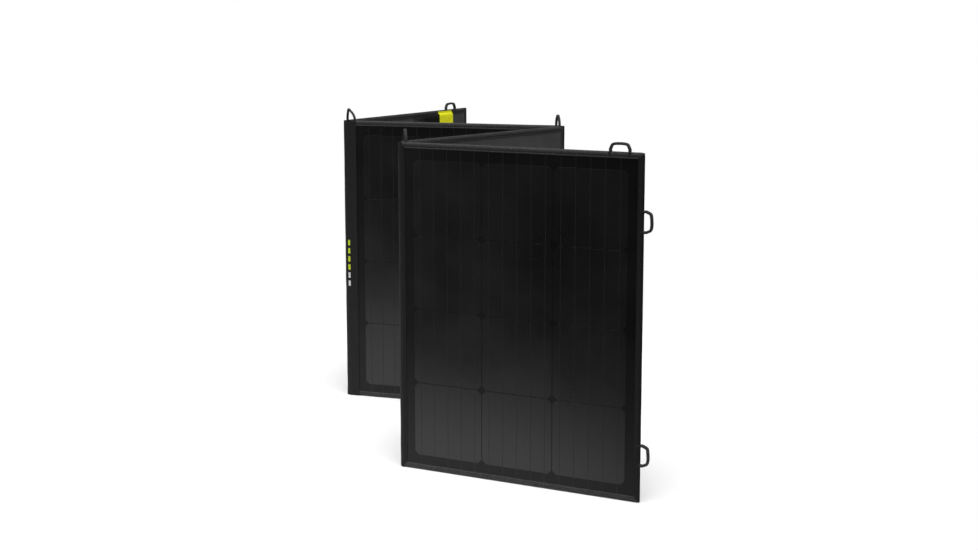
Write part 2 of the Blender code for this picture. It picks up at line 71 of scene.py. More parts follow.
LIP = 0.013  # how far the edge tape reaches in over each face

# Cells
CELL = 0.15875
CELL_PITCH = 0.16075
CHAMFER = 0.0085
COLUMNS = 3
ROWS = 4
CELLS_LEFT = (WIDTH - (COLUMNS * CELL_PITCH - (CELL_PITCH - CELL))) / 2
CELLS_LOW = 0.0335
WAFER_EASE = 0.00018  # how far a wafer's edges are rounded
BUSBARS = 5
BUSBAR_WIDTH = 0.0015
BUSBAR_TAIL = 0.024  # from the end cells to the collectors' lines
BUSBAR_SHORT = 0.003  # how far a busbar stops short of a collector's line
COLLECTOR = 0.004
RIBBON_PROUD = 0.00012  # of the cells
RIBBON_EASE = 0.00015
RIBBON_THICK = 0.0005

# Depths of a panel's visible layers, from its front
CELL_FRONT = 0.00068
WAFER_THICK = 0.0006
FILM_FRONT = 0.0009
FILM_BACK = 0.00145
FILM_INSET = 0.004
CLOTH_INSET = 0.0015
CLOTH_FRONT = 0.0055
CLOTH_BACK = 0.0060

STITCH_INSET = 0.0095  # from a panel's edge to the seam in its tape
STITCH_DEPTH = 0.0005  # from a face to the thread lying in the tape's groove
STITCH_PITCH = 0.005
STITCH_LENGTH = 0.0034
THREAD = 0.00042  # half of a thread's thickness

MM = 0.001
MID = THICK / 2
X, Y, Z = Vector((1, 0, 0)), Vector((0, 1, 0)), Vector((0, 0, 1))


# ---- Where the bodies are ----


JOINTS = {joint["name"]: joint for joint in frame["joints"]}


def axis_spot(name):
    """A vertical fold's axis, as a point on the floor."""
    return Vector((*JOINTS[name]["pos_m"][:2], 0))


def bearing(vector):
    return math.atan2(vector.y, vector.x)


def body_matrices():
    """Each body's matrix, from its own coordinates to the model's, worked out from the folds' axes."""
    axis_a, axis_c = axis_spot("fold_a"), axis_spot("fold_c")
    axis_d, axis_e = axis_spot("spine_front_fold"), axis_spot("spine_rear_fold")
    span = WIDTH + 2 * SETBACK
    gap = THICK + 2 * OFFSET
    turn_2 = bearing(axis_c - axis_a) - bearing(Vector((-span, -gap)))
    turn_1 = turn_2 + math.pi - math.radians(JOINTS["fold_a"]["range_deg"][1])
    turn_3 = bearing(axis_d - axis_c) - bearing(Vector((-span, gap)))
    turn_s = bearing(axis_e - axis_d) - math.pi
    turn_4 = turn_s + math.radians(JOINTS["spine_rear_fold"]["range_deg"][0])
    behind = -(THICK + OFFSET)
    far = -(WIDTH + SETBACK)
    places = {
        "panel_1": (axis_a, turn_1, (SETBACK, behind, 0)),
        "panel_2": (axis_a, turn_2, (far, behind, 0)),
        "panel_3": (axis_c, turn_3, (far, OFFSET, 0)),
        "spine": (axis_d, turn_s, (0, 0, 0)),
        "panel_4": (axis_e, turn_4, (far, behind, 0)),
    }
    made = {}
    for body, (spot, turn, corner) in places.items():
        made[body] = Matrix.Translation(spot) @ Matrix.Rotation(turn, 4, "Z") @ Matrix.Translation(corner)
    made["closure_tab"] = made["panel_4"]
    return made


PLACES = body_matrices()


# ---- Materials ----


class Graph:
    """A material's nodes, with short ways to add the ones used here."""

    def __init__(self, name, colour, roughness, metallic=0.0, sheen=0.0, gloss=0.5):
        self.material = bpy.data.materials.new(name)
        self.material.use_nodes = True
        self.tree = self.material.node_tree
        self.shader = self.tree.nodes["Principled BSDF"]
        self.colour = colour
        self.shader.inputs["Roughness"].default_value = roughness
        self.shader.inputs["Metallic"].default_value = metallic
        self.shader.inputs["Specular IOR Level"].default_value = gloss
        if sheen:
            self.shader.inputs["Sheen Weight"].default_value = sheen
            self.shader.inputs["Sheen Roughness"].default_value = 0.5
        self.roughness = roughness
        self.uv = self.add("ShaderNodeUVMap", uv_map="cloth").outputs["UV"]
        self.point = self.add("ShaderNodeTexCoord").outputs["Object"]

    def add(self, kind, inputs=None, **settings):
        node = self.tree.nodes.new(kind)
        for key, value in settings.items():
            setattr(node, key, value)
        for key, value in (inputs or {}).items():
            self.feed(node.inputs[key], value)
        return node

    def feed(self, socket, value):
        if isinstance(value, bpy.types.NodeSocket):
            self.tree.links.new(value, socket)
        else:
            socket.default_value = value

    def math(self, operation, first, second=0.0):
        return self.add("ShaderNodeMath", {0: first, 1: second}, operation=operation).outputs[0]

    def noise(self, scale, detail=3.0, source=None):
        inputs = {"Vector": source or self.uv, "Scale": scale, "Detail": detail}
        return self.add("ShaderNodeTexNoise", inputs).outputs["Fac"]

    def spread(self, value, low, high, out_low, out_high):
        """A smooth step from one range of values to another."""
        inputs = {"Value": value, 1: low, 2: high, 3: out_low, 4: out_high}
        return self.add("ShaderNodeMapRange", inputs, interpolation_type="SMOOTHSTEP").outputs[0]

    def mix(self, factor, first, second):
        """A colour between two colours."""
        node = self.add("ShaderNodeMix", data_type="RGBA")
        self.feed(node.inputs[0], factor)
        self.feed(node.inputs[6], (*first, 1.0) if isinstance(first, tuple) else first)
        self.feed(node.inputs[7], (*second, 1.0) if isinstance(second, tuple) else second)
        return node.outputs[2]

    def tinted(self, factor, dark, pale):
        """Between two multiples of the material's own colour."""
        return self.mix(factor, shade(self.colour, dark), shade(self.colour, pale))

    def patchy(self, value, low, high, dark, pale):
        """The same, in a smooth step as a value goes from low to high."""
        return self.tinted(self.spread(value, low, high, 0.0, 1.0), dark, pale)

    def finish(self, colour, height, depth, rough_noise=None, rough_swing=0.1):
        """Wire up the colour, the bump from a height of 0 to 1, and the swing in roughness."""
        self.feed(self.shader.inputs["Base Color"], colour)
        bump = self.add("ShaderNodeBump", {"Height": height, "Distance": depth, "Strength": 1.0})
        self.feed(self.shader.inputs["Normal"], bump.outputs[0])
        if rough_noise:
            low, high = self.roughness - rough_swing, self.roughness + rough_swing
            self.feed(self.shader.inputs["Roughness"], self.spread(rough_noise, 0.25, 0.75, low, high))
        return self.material


def shade(colour, factor):
    return tuple(min(1.0, channel * factor) for channel in colour)


def waves(graph, pitch):
    """Two crossed sets of threads: the sine across each, for a weave of this pitch."""
    parts = graph.add("ShaderNodeSeparateXYZ", {0: graph.uv}).outputs
    turn = math.pi / pitch
    return [graph.math("SINE", graph.math("MULTIPLY", parts[axis], turn)) for axis in (0, 1)]


def woven(name, colour, pitch, roughness=0.85, sheen=0.25, depth=0.0002, highlight_and_pale_tone=1.8, gloss=0.25):
    """Plain woven cloth: threads that pass over and under, faded in patches, with painted shade between the
    threads, and painted paler where a point's paleness is high: a painted highlight on the edge tape.
    """
    graph = Graph(name, colour, roughness, sheen=sheen, gloss=gloss)
    across, along = waves(graph, pitch)
    over = graph.math("GREATER_THAN", graph.math("MULTIPLY", across, along), 0.0)
    warp = graph.math("MULTIPLY", graph.math("ABSOLUTE", across), over)
    under = graph.math("SUBTRACT", 1.0, over)
    weft = graph.math("MULTIPLY", graph.math("ABSOLUTE", along), under)
    threads = graph.math("ADD", warp, weft)
    patches = graph.noise(18.0, 4.0)
    fuzz = graph.noise(900.0, 2.0)
    height = graph.math("ADD", threads, graph.math("MULTIPLY", fuzz, 0.5))
    base = graph.patchy(patches, 0.35, 0.65, 0.85, 1.15)
    # Painted shade: darker in the hollows between threads, paler on their crowns.
    threads_painted_shade = graph.mix(graph.math("MULTIPLY", threads, 0.35), base, shade(colour, 1.5))
    # Painted highlight: a point's paleness, read from the mesh, mixes in a paler colour in patches (the edge
    # tape's lit rolls; the pocket's paler end).
    highlight_and_pale_mask = graph.add("ShaderNodeAttribute", attribute_name="highlight_and_pale_tone").outputs["Fac"]
    patchy_highlight_and_pale = graph.math("MULTIPLY", highlight_and_pale_mask, graph.spread(graph.noise(160.0, 5.0), 0.4, 0.7, 0.6, 1.0))
    shown = graph.mix(patchy_highlight_and_pale, threads_painted_shade, shade(colour, highlight_and_pale_tone))
    return graph.finish(shown, height, depth, patches, 0.06)


def ribbed(name, colour, pitch, roughness=0.8, sheen=0.3):
    """Webbing: fine ribs across the strap with a herringbone of threads in them."""
    graph = Graph(name, colour, roughness, sheen=sheen)
    across, along = waves(graph, pitch)
    ribs = graph.math("ABSOLUTE", along)
    twill = graph.math("MULTIPLY", graph.math("ABSOLUTE", across), 0.6)
    fuzz = graph.math("MULTIPLY", graph.noise(1200.0), 0.4)
    height = graph.math("ADD", graph.math("ADD", ribs, twill), fuzz)
    patches = graph.noise(60.0, 4.0)
    base = graph.patchy(patches, 0.35, 0.65, 0.85, 1.12)
    # Painted shade: darker in the grooves between the ribs.
    shown = graph.mix(graph.math("MULTIPLY", ribs, 0.4), shade(colour, 0.7), base)
    # Painted highlight: a strap's flat faces are painted paler, from the same per-point paleness.
    highlight_and_pale_mask = graph.add("ShaderNodeAttribute", attribute_name="highlight_and_pale_tone").outputs["Fac"]
    shown = graph.mix(graph.math("MULTIPLY", highlight_and_pale_mask, 0.5), shown, shade(colour, 1.6))
    return graph.finish(shown, height, 0.0003, patches, 0.06)


def painted_glow(material, glow=0.22):
    """Painted glow: the part gives off its own lime light, so it looks brighter than the lamps make it,
    though it is no lamp.
    """
    shader = material.node_tree.nodes["Principled BSDF"]
    shader.inputs["Emission Color"].default_value = (1.0, 0.98, 0.0, 1)
    shader.inputs["Emission Strength"].default_value = glow
    return material


FINGER_PITCH = 0.0016
TRACK_PITCH = 0.0032


def dimpled(name, colour, roughness, depth, gloss=0.5, fingers=False, dimple=0.0019):
    """Laminated film: pressed with a fine pebble pattern, a little uneven in gloss, with faint dust."""
    graph = Graph(name, colour, roughness, gloss=gloss)
    flat = graph.add("ShaderNodeVectorMath", {0: graph.uv, 1: (1.0, 1.0, 0.0)}, operation="MULTIPLY")
    inputs = {"Vector": flat.outputs[0], "Scale": 1 / dimple, "Randomness": 0.35}
    cells = graph.add("ShaderNodeTexVoronoi", inputs)
    pits = graph.spread(cells.outputs["Distance"], 0.05, 0.55, 1.0, 0.0)
    patches = graph.noise(7.0, 5.0)
    dust = graph.spread(graph.noise(420.0, 6.0), 0.62, 0.8, 0.0, 0.35)
    base = graph.patchy(patches, 0.3, 0.7, 0.88, 1.12)
    if fingers:
        lines = graph.add("ShaderNodeSeparateXYZ", {0: graph.uv}).outputs[1]
        thin = graph.math("SINE", graph.math("MULTIPLY", lines, 2 * math.pi / FINGER_PITCH))
        base = graph.mix(graph.spread(thin, 0.86, 1.0, 0.0, 0.5), base, shade(colour, 1.9))
    shown = graph.mix(dust, base, shade(colour, 2.2))
    return graph.finish(shown, pits, depth, patches, 0.05)


def metal(name, colour, roughness):
    """Coated ribbon: drawn along its length, a little uneven."""
    graph = Graph(name, colour, roughness, metallic=0.4)
    drawn = graph.noise(700.0, 4.0)
    patches = graph.noise(40.0)
    base = graph.tinted(patches, 0.8, 1.25)
    return graph.finish(base, drawn, 0.00005, patches, 0.08)


def moulded(name, colour, roughness):
    """Moulded plastic: fine spark-eroded grain, and a slight drift in colour."""
    graph = Graph(name, colour, roughness)
    grain = graph.noise(2200.0, 3.0, graph.point)
    patches = graph.noise(35.0, 4.0, graph.point)
    base = graph.tinted(patches, 0.85, 1.2)
    return graph.finish(base, grain, 0.00006, patches, 0.06)


def board_look():
    """Glass-fibre board: green resist over faint tracks and a woven core."""
    graph = Graph("circuit_board", (0.012, 0.075, 0.035), 0.35)
    parts = graph.add("ShaderNodeSeparateXYZ", {0: graph.point}).outputs
    tracks = graph.math("SINE", graph.math("MULTIPLY", parts[2], 2 * math.pi / TRACK_PITCH))
    base = graph.mix(graph.spread(tracks, 0.5, 0.7, 0.0, 1.0), graph.colour, (0.03, 0.14, 0.06))
    grain = graph.noise(1500.0, 3.0, graph.point)
    return graph.finish(base, grain, 0.00004, grain, 0.05)


def pile_look(name, colour, scale):
    """Hook or loop tape: a dense field of bristles or a matted pile."""
    graph = Graph(name, colour, 0.95, sheen=0.4)
    inputs = {"Vector": graph.uv, "Scale": scale, "Randomness": 0.6}
    tufts = graph.add("ShaderNodeTexVoronoi", inputs).outputs["Distance"]
    matted = graph.noise(scale * 0.8, 5.0)
    height = graph.math("ADD", graph.math("SUBTRACT", 1.0, tufts), matted)
    # Painted shade: darker down in the pile, paler at the tips of the tufts.
    base = graph.tinted(graph.spread(tufts, 0.0, 0.5, 1.0, 0.0), 0.6, 1.6)
    return graph.finish(base, height, 0.0006, matted, 0.03)


def print_look(name, colour):
    """Rubber print: nearly even, with a worn surface that lets specks of the cloth through."""
    graph = Graph(name, colour, 0.55)
    specks = graph.spread(graph.noise(500.0, 5.0), 0.62, 0.72, 0.0, 0.8)
    base = graph.mix(specks, colour, shade(colour, 0.35))
    grain = graph.noise(900.0, 3.0)
    return graph.finish(base, grain, 0.00005, grain, 0.08)


LOOKS = {
    "film": dimpled("laminate_film", (0.0012, 0.00125, 0.0013), 0.40, 0.000025, gloss=0.28),
    "cell": dimpled("solar_cell", (0.0052, 0.0053, 0.0056), 0.31, 0.00002, fingers=True),
    "busbar": metal("busbar", (0.011, 0.0112, 0.0118), 0.42),
    "tape": woven("edge_tape", (0.0055, 0.0055, 0.0056), 0.0009, 0.65, sheen=0.02, highlight_and_pale_tone=14.0, gloss=0.2),
    "back": woven("back_cloth", (0.070, 0.0704, 0.071), 0.0011, sheen=0.1),
    "fold": woven("fold_cloth", (0.014, 0.014, 0.0142), 0.0009, sheen=0.03, gloss=0.2),
    "pouch": woven("pouch_cloth", (0.007, 0.007, 0.0073), 0.0012, 0.9, 0.03, highlight_and_pale_tone=9.0, gloss=0.15),
    "thread": ribbed("thread", (0.012, 0.012, 0.0125), 0.0007, sheen=0.05),
    "webbing": ribbed("webbing", (0.022, 0.022, 0.023), 0.0013, sheen=0.1),
    # The lime webbing and its thread carry a painted glow.
    "lime": painted_glow(ribbed("lime_webbing", (0.94, 0.93, 0.002), 0.0013, sheen=0.05)),
    "lime_thread": painted_glow(ribbed("lime_thread", (0.80, 0.82, 0.01), 0.0007, sheen=0.05)),
    "hook": pile_look("hook_tape", (0.014, 0.014, 0.015), 900.0),
    "loop": pile_look("loop_tape", (0.020, 0.020, 0.021), 1500.0),
    "plastic": moulded("black_plastic", (0.018, 0.018, 0.020), 0.48),
    "jacket": moulded("lead_jacket", (0.012, 0.012, 0.013), 0.45),
    "backsheet": moulded("backsheet", (0.020, 0.020, 0.021), 0.6),
    "stiffener": moulded("stiffener", (0.055, 0.052, 0.048), 0.75),
    "batten": moulded("batten", (0.050, 0.050, 0.052), 0.65),
    "board": board_look(),
    "white_print": print_look("white_print", (0.72, 0.73, 0.72)),
    "lime_print": print_look("lime_print", (0.60, 0.74, 0.01)),
}


# ---- Mesh helpers ----


def map_cloth(mesh, mapped=None):
    """A UV map in metres, so that a weave has its real size: from the points, or (u, v) given for each."""
    layer = mesh.uv_layers.new(name="cloth")
    for corner in mesh.loops:
        if mapped:
            layer.data[corner.index].uv = mapped[corner.vertex_index]
        else:
            spot = mesh.vertices[corner.vertex_index].co
            layer.data[corner.index].uv = (spot.x + spot.y, spot.z + spot.y)


def link(name, data):
    """A new object in the scene, for a mesh, a light or a camera."""
    made = bpy.data.objects.new(name, data)
    bpy.context.scene.collection.objects.link(made)
    return made


def new_piece(name, shape, look, replaced=(), smooth=50, mapped=None, highlight_and_pale_tone=None):
    """A piece from its (points, faces), turned outwards, with its finish; the CAD nodes it stands for are
    hidden.
    """
    points, faces = shape
    mesh = bpy.data.meshes.new(name)
    mesh.from_pydata([tuple(point) for point in points], [], faces)
    solid = bmesh.new()
    solid.from_mesh(mesh)
    bmesh.ops.recalc_face_normals(solid, faces=solid.faces)
    loose = [point for point in solid.verts if not point.link_faces]
    bmesh.ops.delete(solid, geom=loose, context="VERTS")
    solid.to_mesh(mesh)
    solid.free()
    map_cloth(mesh, mapped)
    # The per-point paleness that the cloth looks read: on the edge tape and straps, a painted highlight.
    if highlight_and_pale_tone:
        mesh.attributes.new("highlight_and_pale_tone", "FLOAT", "POINT").data.foreach_set("value", highlight_and_pale_tone)
    mesh.materials.append(LOOKS[look])
    mesh.shade_smooth()
    mesh.set_sharp_from_angle(angle=math.radians(smooth))
    piece = link(name, mesh)
    if replaced:
        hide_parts(*replaced)
    return piece


def seat(piece, body):
    """Set a piece that was modelled in its body's coordinates in place, to ride on that body."""
    piece.matrix_world = PLACES[body]
    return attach(piece, body)


def steps(low, high, count):
    return [low + (high - low) * step / count for step in range(count + 1)]


def grid(x_values, z_values, keep=lambda column, row: True):
    """Faces of a grid of points listed row by row."""
    across = len(x_values)
    faces = []
    for row in range(len(z_values) - 1):
        for column in range(across - 1):
            if keep(column, row):
                first = row * across + column
                faces.append((first, first + 1, first + 1 + across, first + across))
    return faces


def closed_sheet(points, faces, offsets):
    """A thin closed body: a surface, its copy set off by a vector (or one per point), and a rim."""
    count = len(points)
    if isinstance(offsets, Vector):
        offsets = [offsets] * count
    all_points = list(points) + [point + step for point, step in zip(points, offsets)]
    edges = [edge for face in faces for edge in zip(face, face[1:] + face[:1])]
    used = Counter(frozenset(edge) for edge in edges)
    rim = [(first, second, second + count, first + count)
           for first, second in edges if used[frozenset((first, second))] == 1]
    back = [tuple(corner + count for corner in reversed(face)) for face in faces]
    return all_points, list(faces) + back + rim


def surface(xs, zs, depth, thickness):
    """A closed sheet over a grid of x and z, its first face at depth(x, z)."""
    points = [Vector((x, depth(x, z), z)) for z in zs for x in xs]
    return closed_sheet(points, grid(xs, zs), Vector((0, thickness, 0)))


def sweep(rings, closed=False):
    """Faces of a tube through equal rings of points, with end caps unless it closes on itself."""
    size, count = len(rings[0]), len(rings)
    points = [point for ring in rings for point in ring]
    faces = []
    for number in range(count if closed else count - 1):
        base, top = number * size, (number + 1) % count * size
        for corner in range(size):
            after = (corner + 1) % size
            faces.append((base + corner, base + after, top + after, top + corner))
    if not closed:
        faces.append(tuple(reversed(range(size))))
        faces.append(tuple(range((count - 1) * size, count * size)))
    return points, faces


def smooth_line(points, parts=6):
    """A smooth curve through points, with this many steps between each two."""
    padded = [points[0] * 2 - points[1]] + list(points) + [points[-1] * 2 - points[-2]]
    line = []
    for before, start, end, after in zip(padded, padded[1:], padded[2:], padded[3:]):
        for part in range(parts):
            t = part / parts
            line.append(
                0.5 * (2 * start + (end - before) * t + (2 * before - 5 * start + 4 * end - after) * t * t
                       + (3 * start - before - 3 * end + after) * t * t * t)
            )
    return line + [points[-1]]


def headings(line):
    """The direction of travel at each point of a line."""
    last = len(line) - 1
    return [line[min(index + 1, last)] - line[max(index - 1, 0)] for index in range(last + 1)]


def runs_along(line):
    """How far along a line each of its points is."""
    runs = [0.0]
    for first, second in zip(line, line[1:]):
        runs.append(runs[-1] + (second - first).length)
    return runs


def squared(value, power):
    """A sine or cosine drawn outwards, which turns a circle into a rectangle with round corners."""
    return math.copysign(abs(value) ** power, value)


def hollow_tube(levels, sides, outline):
    """An open-ended tube; outline(cosine, sine, level) gives a point outside and the one inside it."""
    outside, inside = [], []
    for level in levels:
        turns = [2 * math.pi * side / sides for side in range(sides)]
        pairs = [outline(math.cos(turn), math.sin(turn), level) for turn in turns]
        outside.append([pair[0] for pair in pairs])
        inside.append([pair[1] for pair in pairs])
    return sweep(outside + inside[::-1], closed=True)


def ripple(number, x, z, scale=9.0):
    """Smooth unevenness from -1 to 1, different for each panel."""
    return noise.noise(Vector((x * scale, z * scale, number * 7.3)))


def fade(x, z):
    """1 over most of a panel's face, falling to 0 at its rim."""
    edge = min(x, WIDTH - x, z, HEIGHT - z) - LIP
    return max(0.0, min(1.0, edge / 0.05))


def swell(number, x, z):
    """How far the laminate stands forward of its plane: thin sheets are never quite flat."""
    return 0.00032 * ripple(number, x, z, 5.0) * fade(x, z)


# ---- The front of a panel ----


def face_film(number):
    """The laminate's front: one film over the whole face, a little uneven."""
    body = f"panel_{number}"
    xs, zs = steps(FILM_INSET, WIDTH - FILM_INSET, 26), steps(FILM_INSET, HEIGHT - FILM_INSET, 34)
    shape = surface(xs, zs, lambda x, z: FILM_FRONT - swell(number, x, z), FILM_BACK - FILM_FRONT)
    piece = new_piece(f"{body}_laminate", shape, "film", [f"{body}_front_film"])
    return seat(piece, body)


def wafer(number, left, low):
    """One pseudo-square wafer, with its corners cut off."""
    stops = [0.0, *steps(CHAMFER, CELL - CHAMFER, 8), CELL]
    spots = [(left + across, low + up) for up in stops for across in stops]
    points = [Vector((x, CELL_FRONT - swell(number, x, z), z)) for x, z in spots]
    row, last = len(stops), len(stops) - 2
    corners = [(0, 0), (last, 0), (last, last), (0, last)]
    faces = grid(stops, stops, lambda column, level: (column, level) not in corners)
    for turn, (column, level) in enumerate(corners):
        first = level * row + column
        square = [first, first + 1, first + 1 + row, first + row]
        del square[turn]
        faces.append(tuple(square))
    return closed_sheet(points, faces, Vector((0, WAFER_THICK, 0)))


def wafers(number):
    """The panel's twelve cells, standing just proud of the laminate round them."""
    body = f"panel_{number}"
    parts = []
    for column in range(COLUMNS):
        for row in range(ROWS):
            parts.append(wafer(number, CELLS_LEFT + column * CELL_PITCH, CELLS_LOW + row * CELL_PITCH))
    piece = new_piece(f"{body}_wafers", gather(parts), "cell", [f"{body}_cells"])
    soften = piece.modifiers.new("edge", "BEVEL")
    soften.width = WAFER_EASE
    soften.segments = 2
    soften.limit_method = "ANGLE"
    soften.harden_normals = True
    return seat(piece, body)


def strip(number, start, end, width, front):
    """A thin flat ribbon on the face from one (x, z) to another, following the face."""
    start, end = Vector(start), Vector(end)
    run = end - start
    side = Vector((-run.y, run.x)).normalized() * width / 2
    front_face = ((-1, RIBBON_EASE), (-0.7, 0.0), (0.7, 0.0), (1, RIBBON_EASE))
    section = (*front_face, (1, RIBBON_THICK), (-1, RIBBON_THICK))
    count = max(2, int(run.length / 0.02))
    rings = []
    for step in range(count + 1):
        ring = []
        for across, depth in section:
            x, z = start + run * step / count + side * across
            ring.append(Vector((x, front + depth - swell(number, x, z), z)))
        rings.append(ring)
    return sweep(rings)


def busbars(number):
    """Five ribbons up each column of cells, and the collectors that join the columns in series."""
    body = f"panel_{number}"
    step = CELL / BUSBARS
    low = CELLS_LOW - BUSBAR_TAIL
    high = CELLS_LOW + ROWS * CELL_PITCH + BUSBAR_TAIL
    front = CELL_FRONT - RIBBON_PROUD
    parts = []
    for column in range(COLUMNS):
        for bar in range(BUSBARS):
            x = CELLS_LEFT + column * CELL_PITCH + step * (bar + 0.5)
            start, end = (x, low + BUSBAR_SHORT), (x, high - BUSBAR_SHORT)
            parts.append(strip(number, start, end, BUSBAR_WIDTH, front))
    for level, first, last in ((high, 0, 1), (high, 2, 2), (low, 0, 0), (low, 1, 2)):
        start = CELLS_LEFT + first * CELL_PITCH + step / 2
        end = CELLS_LEFT + last * CELL_PITCH + CELL - step / 2
        parts.append(strip(number, (start, level), (end, level), COLLECTOR, front + 0.0001))
    piece = new_piece(f"{body}_busbars", gather(parts), "busbar", [f"{body}_ribbons"])
    return seat(piece, body)


# ---- Edge tape, seams and back cloth ----

# Half of the tape's section, from the front lip's end round to the middle of the edge: (inset, y) in mm
TAPE_OUTSIDE = (
    (13.0, 0.9), (12.95, 0.45), (12.6, 0.1), (12.0, -0.1), (11.2, -0.08), (10.3, 0.2), (9.6, 0.42),
    (9.1, 0.3), (8.3, -0.05), (7.2, -0.3), (5.7, -0.3), (4.4, -0.05), (3.2, 0.35), (2.1, 0.9), (1.1, 1.7),
    (0.35, 2.6), (0.0, 3.5),
)
TAPE_INSIDE = ((0.9, 3.5), (1.3, 2.9), (3.2, 1.2), (6.0, 0.8), (12.4, 0.95))
CORNER_RADIUS = 0.006
TAPE_STEP = 0.009
PUCKER_PITCH = 0.016
PUCKER_DEPTH = 0.00013
TACK_DEPTH = 0.0001  # from a face to the tacks lying in the tape
TACK_ROWS = 6
TACK_START = 0.0016  # from the panel's edge to the first row
TACK_PITCH = 0.0011
TACK_LENGTH = 0.0075
TACK_THREAD = 0.00045
SLACK = 0.0007  # how far the back cloth can stand off its board


def tape_section():
    """The tape's whole section as (inset, y) in metres: round its outside, then back round its inside."""
    outside, inside = ([(inset * MM, y * MM) for inset, y in half] for half in (TAPE_OUTSIDE, TAPE_INSIDE))
    back_outside = [(inset, THICK - y) for inset, y in reversed(outside[:-1])]
    back_inside = [(inset, THICK - y) for inset, y in reversed(inside[1:])]
    return outside + back_outside + back_inside + inside


def tape_pale_tone_and_highlight(inset, y, upright):
    """How pale the tape is painted: evenly so at the back, and in front a painted highlight, most on its roll
    and inner ridge, as light from above would fall.

    upright is 0 along the top and bottom and 1 up the sides, where the front is kept dark: painted shade.
    """
    if y > MID:
        return 0.9
    pale = 1.0 if inset < 0.0026 or 0.0098 < inset < 0.0122 else 0.6
    return pale * (1 - 0.92 * upright)


def rim_stations():
    """Stations round the panel: (side, share along it), or (corner, share round it)."""
    stations = []
    for side, length in enumerate((WIDTH, HEIGHT, WIDTH, HEIGHT)):
        count = int(length / TAPE_STEP)
        stations += [("side", side, step / count) for step in range(count + 1)]
        stations += [("corner", side + 1, share / 3) for share in (1, 2)]
    return stations


def rim_point(station, inset):
    """A point on the rounded rectangle at this inset: x, z and the outward direction."""
    kind, number, share = station
    radius = max(CORNER_RADIUS - inset, 0.0004)
    near = inset + radius
    corners = [(near, near), (WIDTH - near, near), (WIDTH - near, HEIGHT - near), (near, HEIGHT - near)]
    outward = [Vector((0, -1)), Vector((1, 0)), Vector((0, 1)), Vector((-1, 0))]
    if kind == "side":
        start, end = Vector(corners[number]), Vector(corners[(number + 1) % 4])
        return start.lerp(end, share) + outward[number] * radius, outward[number]
    before = outward[number - 1]
    turn = math.pi / 2 * share
    direction = before * math.cos(turn) + Vector((-before.y, before.x)) * math.sin(turn)
    return Vector(corners[number % 4]) + direction * radius, direction


def edge_tape(number):
    """The woven tape folded over all four edges: soft, rounded, and drawn in a little at its seam."""
    body = f"panel_{number}"
    section = tape_section()
    rings, highlight_and_pale_tone = [], []
    for station in rim_stations():
        middle, outward = rim_point(station, 0.006)
        pucker = 0.5 * math.sin((middle.x - middle.y) * 2 * math.pi / PUCKER_PITCH)
        pucker += ripple(number + 9, middle.x, middle.y, 60.0)
        ring = []
        for inset, y in section:
            spot, _ = rim_point(station, inset)
            lip = min(1.0, max(0.0, inset - 0.002) / 0.006)
            side = -1 if y < MID else 1
            spot = spot + outward * (0.0002 * ripple(number, spot.x, spot.y, 22.0))
            ring.append(Vector((spot.x, y + side * PUCKER_DEPTH * pucker * lip, spot.y)))
        rings.append(ring)
        # Painted highlight on the top and bottom of the tape's front, painted shade up its sides.
        highlight_and_pale_tone += [tape_pale_tone_and_highlight(inset, y, abs(outward.x)) for inset, y in section]
    shape = sweep(rings, closed=True)
    name, stands_for = f"{body}_edge_tape", [f"{body}_binding"]
    return seat(new_piece(name, shape, "tape", stands_for, 60, highlight_and_pale_tone=highlight_and_pale_tone), body)


def stitch(spot, along, outward, length=STITCH_LENGTH, fat=THREAD):
    """One stitch: a little spindle of thread lying on the cloth."""
    across = along.cross(outward).normalized() * fat
    rise = outward.normalized() * fat
    half = along.normalized() * length / 2
    points = [spot - half - rise * 0.6]
    for share in (-0.55, 0.55):
        centre = spot + half * share + rise * 0.4
        points += [centre + across, centre + rise, centre - across, centre - rise]
    points.append(spot + half - rise * 0.6)
    faces = []
    for corner in range(4):
        after = (corner + 1) % 4
        faces.append((0, 1 + after, 1 + corner))
        faces.append((1 + corner, 1 + after, 5 + after, 5 + corner))
        faces.append((5 + corner, 5 + after, 9))
    return points, faces


def gather(parts):
    """Several (points, faces) as one."""
    points, faces = [], []
    for part_points, part_faces in parts:
        start = len(points)
        points += part_points
        faces += [tuple(corner + start for corner in face) for face in part_faces]
    return points, faces


def seam(start, end, outward, pitch=STITCH_PITCH, length=STITCH_LENGTH):
    """A straight row of stitches."""
    start, end = Vector(start), Vector(end)
    run = end - start
    count = max(1, int(run.length / pitch))
    spots = [start + run * (step + 0.5) / count for step in range(count)]
    return [stitch(spot, run, outward, length) for spot in spots]


def bar_tacks(spots):
    """Dense short stitches that hold each foot of a loop; spots are (x, z, direction along the edge)."""
    made = []
    for x, z, along in spots:
        inward = Vector((-along.z, 0, along.x))
        for y, outward in ((TACK_DEPTH, -Y), (THICK - TACK_DEPTH, Y)):
            for row in range(TACK_ROWS):
                spot = Vector((x, y, z)) + inward * (TACK_START + row * TACK_PITCH)
                made.append(stitch(spot, along, outward, TACK_LENGTH, TACK_THREAD))
    return made


def seams(number, tacks=()):
    """The seam round the panel, seen on both faces, and the tacks at the loops' feet."""
    low, right, top = STITCH_INSET, WIDTH - STITCH_INSET, HEIGHT - STITCH_INSET
    corners = [(low, low), (right, low), (right, top), (low, top)]
    parts = []
    for y, outward in ((STITCH_DEPTH, -Y), (THICK - STITCH_DEPTH, Y)):
        for (x0, z0), (x1, z1) in zip(corners, corners[1:] + corners[:1]):
            parts += seam((x0, y, z0), (x1, y, z1), outward)
    parts += bar_tacks(tacks)
    body = f"panel_{number}"
    return seat(new_piece(f"{body}_seams", gather(parts), "thread"), body)


